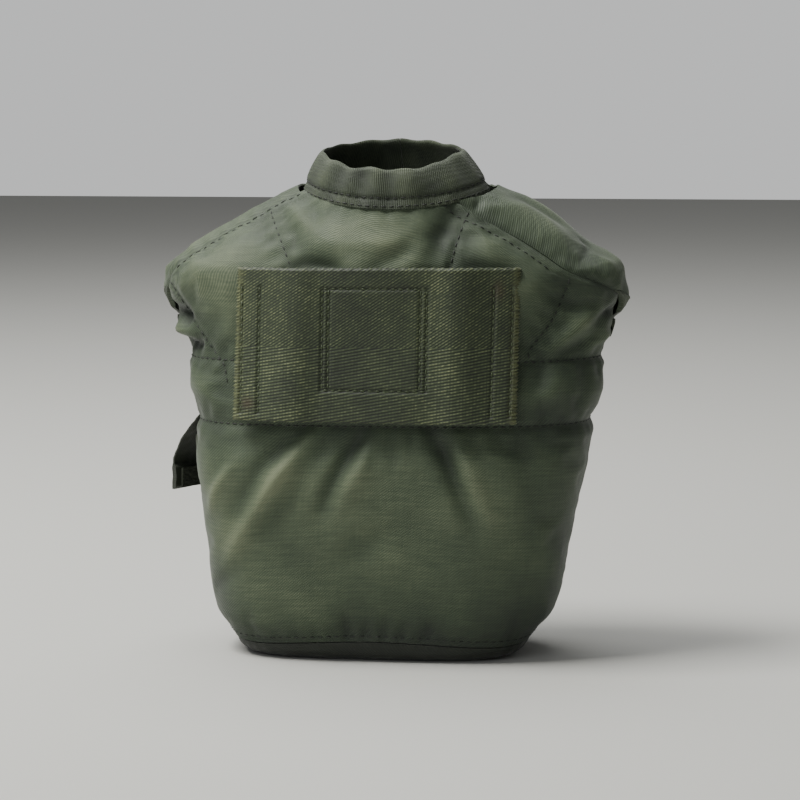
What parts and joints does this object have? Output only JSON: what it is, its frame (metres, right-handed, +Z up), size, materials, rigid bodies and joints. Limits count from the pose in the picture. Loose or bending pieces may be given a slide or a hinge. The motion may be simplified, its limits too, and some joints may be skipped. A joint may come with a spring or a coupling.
{
  "type": "canteen cover",
  "caption": "Soft insulated carrier for an oval one-quart belt canteen, with shoulder flaps that unsnap, a neck collar, a tablet pocket and belt webbing across the back.",
  "frame": {"origin": "middle of the underside of the base, which rests on the ground", "axes": "+Z up through the neck, -Y out of the belt webbing's side, +Y out of the snap side, -X towards the tablet pocket"},
  "size_m": [0.1797, 0.0897, 0.1905],
  "materials": {
    "shell_cloth": "twill, matt with a slight sheen",
    "pile_lining": "acrylic pile",
    "nylon_webbing": "coarse woven webbing",
    "edge_tape": "ribbed binding tape",
    "black_brass": "blackened, worn at the rims",
    "hook_and_loop": "hook and loop tape"
  },
  "bodies": {
    "cover": {"back_panel": "shell_cloth", "back_lining": "pile_lining", "back_band": "nylon_webbing", "front_panel": "shell_cloth", "front_lining": "pile_lining", "front_edge_binding": "edge_tape", "base_panel": "shell_cloth", "base_lining": "pile_lining", "base_seam_binding": "edge_tape", "collar_back": "edge_tape", "belt_webbing": "nylon_webbing", "tablet_pocket": "shell_cloth", "pocket_binding": "edge_tape", "pocket_loop_tape": "hook_and_loop", "snap_stud_left": "black_brass", "snap_stud_right": "black_brass", "snap_post_left": "black_brass", "snap_post_right": "black_brass"},
    "left_flap": {"flap_left": "shell_cloth", "flap_lining_left": "pile_lining", "flap_binding_left": "edge_tape", "collar_front_left": "edge_tape", "strap_left": "nylon_webbing"},
    "right_flap": {"flap_right": "shell_cloth", "flap_lining_right": "pile_lining", "flap_binding_right": "edge_tape", "collar_front_right": "edge_tape", "strap_right": "nylon_webbing"},
    "left_tab": {"snap_tab_left": "nylon_webbing", "snap_cap_left": "black_brass", "snap_socket_left": "black_brass"},
    "right_tab": {"snap_tab_right": "nylon_webbing", "snap_cap_right": "black_brass", "snap_socket_right": "black_brass"},
    "pocket_cover": {"pocket_flap": "shell_cloth", "pocket_hook_tape": "hook_and_loop"}
  },
  "joints": [
    {"name": "left_flap_fold", "type": "hinge", "parent": "cover", "child": "left_flap", "pos_m": [-0.03251, -0.01, 0.176], "axis": [0.8367, 0, 0.5477], "range_deg": [0, 105]},
    {"name": "right_flap_fold", "type": "hinge", "parent": "cover", "child": "right_flap", "pos_m": [0.03251, -0.01, 0.176], "axis": [0.8367, 0, -0.5477], "range_deg": [0, 105]},
    {"name": "left_snap_lift", "type": "hinge", "parent": "left_flap", "child": "left_tab", "pos_m": [-0.03283, 0.03885, 0.10738], "axis": [0.9876, 0.1569, 0.0063], "range_deg": [0, 100]},
    {"name": "right_snap_lift", "type": "hinge", "parent": "right_flap", "child": "right_tab", "pos_m": [0.03283, 0.03885, 0.10738], "axis": [0.9876, -0.1569, -0.0063], "range_deg": [0, 100]},
    {"name": "pocket_flap_fold", "type": "hinge", "parent": "cover", "child": "pocket_cover", "pos_m": [-0.07014, 0.01952, 0.08888], "axis": [0.6818, 0.7315, 0.0073], "range_deg": [-2, 90]}
  ]
}
